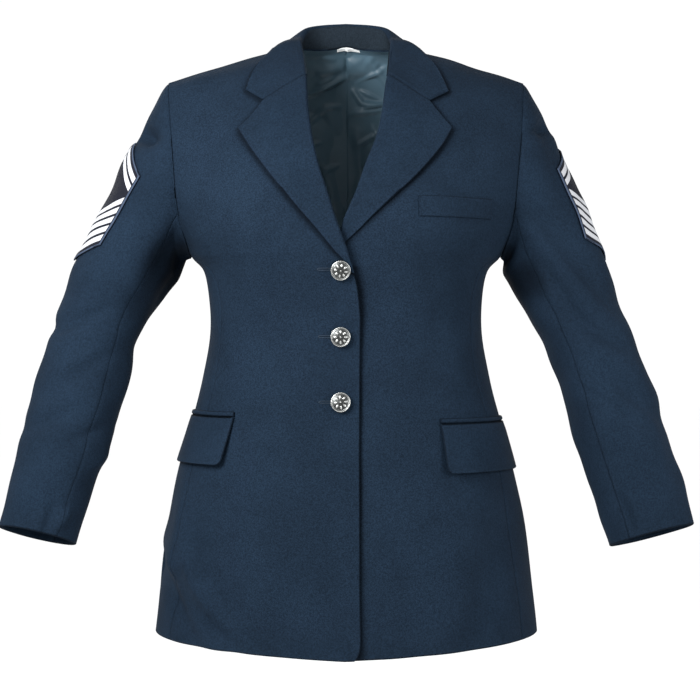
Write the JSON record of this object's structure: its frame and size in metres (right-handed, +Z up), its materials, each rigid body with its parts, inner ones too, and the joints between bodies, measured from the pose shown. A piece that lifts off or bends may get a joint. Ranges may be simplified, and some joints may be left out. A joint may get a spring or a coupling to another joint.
{
  "type": "service dress jacket",
  "caption": "Fitted navy service dress jacket, single breasted with notched lapels, flap pockets and sleeve chevrons, filled out as worn.",
  "frame": {"origin": "midway between the shoulders at the height of the neck seam, where the wearer's shoulders hold the jacket", "axes": "+Z up, the jacket's front faces -Y, +X towards the wearer's left"},
  "size_m": [0.7514, 0.2766, 0.7147],
  "materials": {
    "shell": "matte worsted twill",
    "button": "antiqued pewter, satin",
    "patch": "dense embroidery",
    "lining": "satin lining",
    "label": "woven tape"
  },
  "bodies": {
    "root": {"front_right": "shell", "front_left": "shell", "side_right": "shell", "side_left": "shell", "back_right": "shell", "back_left": "shell", "sleeve_top_right": "shell", "sleeve_top_left": "shell", "sleeve_under_right": "shell", "sleeve_under_left": "shell", "lapel_right": "shell", "lapel_left": "shell", "collar_fall": "shell", "collar_stand": "shell", "pocket_flap_right": "shell", "pocket_flap_left": "shell", "pocket_jet_right": "shell", "pocket_jet_left": "shell", "breast_welt": "shell", "button_1": "button", "button_2": "button", "button_3": "button", "sleeve_patch_right": "patch", "sleeve_patch_left": "patch", "lining_back": "lining", "neck_label": "label"}
  },
  "joints": []
}
